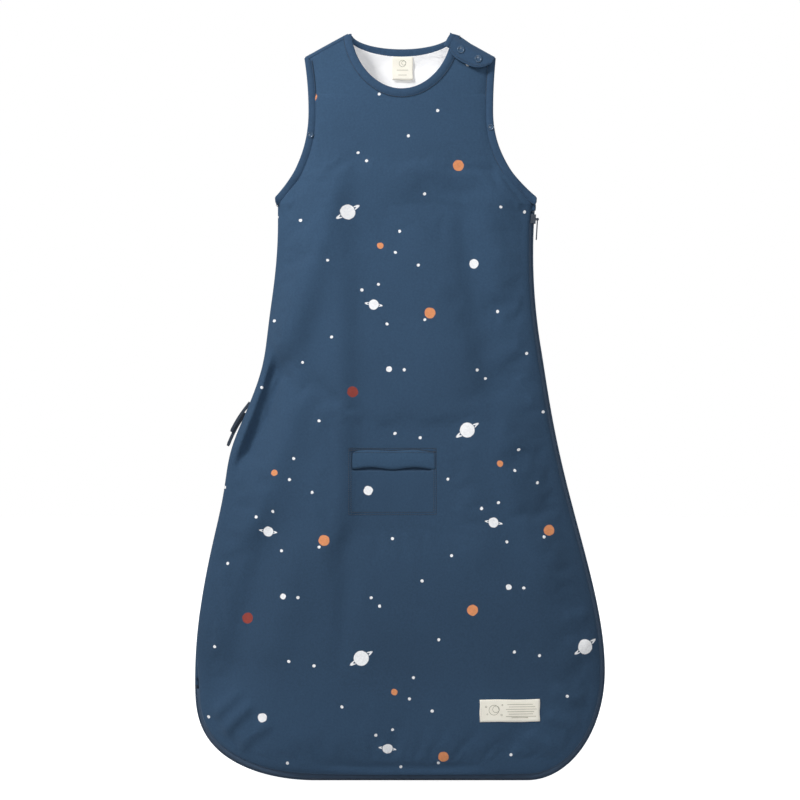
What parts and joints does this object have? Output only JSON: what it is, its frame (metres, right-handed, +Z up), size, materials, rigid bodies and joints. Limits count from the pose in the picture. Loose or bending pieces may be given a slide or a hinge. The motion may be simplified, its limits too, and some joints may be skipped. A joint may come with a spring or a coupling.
{
  "type": "baby sleeping bag",
  "caption": "Sleeveless wearable baby sleeping bag: narrow chest, wide rounded hem, round neck, side-and-hem zip, press-stud shoulder tab and a welted harness slot.",
  "frame": {"origin": "on the floor line under the middle of the hem, in the seam plane between front and back", "axes": "+Z up from the hem to the shoulders, -Y out of the front, +X towards the zip side"},
  "size_m": [0.4949, 0.0669, 0.901],
  "materials": {
    "cloth": "soft printed cotton jersey",
    "binding": "folded cotton jersey band",
    "lining": "smooth white cotton jersey",
    "wadding": "light polyester wadding",
    "label": "woven cream satin tape",
    "tape": "narrow woven tape",
    "zip_coil": "moulded nylon",
    "zip_metal": "satin lacquer",
    "stud": "semi-gloss moulded"
  },
  "bodies": {
    "bag": {"front_shell": "cloth", "back_shell": "cloth", "front_wadding": "wadding", "back_wadding": "wadding", "front_lining": "lining", "back_lining": "lining", "front_neck_binding": "binding", "back_neck_binding": "binding", "left_front_armhole_binding": "binding", "left_back_armhole_binding": "binding", "right_front_armhole_binding": "binding", "right_back_armhole_binding": "binding", "left_shoulder_seam": "cloth", "right_shoulder_turn": "cloth", "left_side_seam": "cloth", "shoulder_studs": "stud", "armhole_stud_caps": "stud", "armhole_stud_sockets": "stud", "armhole_studs": "stud", "zip_cover_strip": "cloth", "zip_guard": "tape", "front_zip_tape": "tape", "back_zip_tape": "tape", "front_zip_coil": "zip_coil", "back_zip_coil": "zip_coil", "zip_top_stops": "zip_coil", "zip_end_stop": "zip_coil", "zip_garage": "cloth", "front_harness_facing": "cloth", "back_harness_facing": "cloth"},
    "front_corner": {"front_corner_shell": "cloth", "front_corner_wadding": "wadding", "front_corner_lining": "lining", "front_corner_zip_tape": "tape", "front_corner_zip_coil": "zip_coil", "hem_label": "label"},
    "shoulder_tab": {"shoulder_tab": "cloth", "shoulder_stud_caps": "stud", "shoulder_stud_sockets": "stud"},
    "slider": {"zip_slider": "zip_metal"},
    "puller": {"zip_puller": "zip_metal"},
    "front_welt": {"front_harness_welt": "cloth"},
    "back_welt": {"back_harness_welt": "cloth"},
    "neck_label": {"neck_label": "label"},
    "upper_tie": {"upper_waist_tie": "tape"},
    "lower_tie": {"lower_waist_tie": "tape"}
  },
  "joints": [
    {"name": "corner_fold", "type": "hinge", "parent": "bag", "child": "front_corner", "pos_m": [0.18446, -0.0325, 0.435], "axis": [-0.7071, 0, -0.7071], "range_deg": [0, 150]},
    {"name": "slider_travel", "type": "hinge", "parent": "bag", "child": "slider", "pos_m": [0.8608, 0, 0.636], "axis": [0, -1, 0], "range_deg": [0, 12]},
    {"name": "puller_flip", "type": "hinge", "parent": "slider", "child": "puller", "pos_m": [0.1657, 0, 0.67678], "axis": [0, -1, 0], "range_deg": [0, 165]},
    {"name": "shoulder_tab_lift", "type": "hinge", "parent": "bag", "child": "shoulder_tab", "pos_m": [0.061, -0.014, 0.898], "axis": [-0.8863, 0, 0.4631], "range_deg": [0, 150]},
    {"name": "front_welt_lift", "type": "hinge", "parent": "bag", "child": "front_welt", "pos_m": [-0.009, -0.03242, 0.3995], "axis": [-1, 0, 0], "range_deg": [0, 120]},
    {"name": "back_welt_lift", "type": "hinge", "parent": "bag", "child": "back_welt", "pos_m": [-0.009, 0.0326, 0.3965], "axis": [1, 0, 0], "range_deg": [0, 110]},
    {"name": "neck_label_flip", "type": "hinge", "parent": "bag", "child": "neck_label", "pos_m": [0.003, 0.01565, 0.8752], "axis": [-1, 0, 0], "range_deg": [0, 60]},
    {"name": "upper_tie_swing", "type": "hinge", "parent": "bag", "child": "upper_tie", "pos_m": [-0.186, -0.001, 0.451], "axis": [0, 1, 0], "range_deg": [0, 60]},
    {"name": "lower_tie_swing", "type": "hinge", "parent": "bag", "child": "lower_tie", "pos_m": [-0.1916, 0.001, 0.438], "axis": [0, 1, 0], "range_deg": [0, 60]}
  ],
  "couplings": [
    {"joint": "slider_travel", "follows": "corner_fold", "ratio": 0.08}
  ]
}
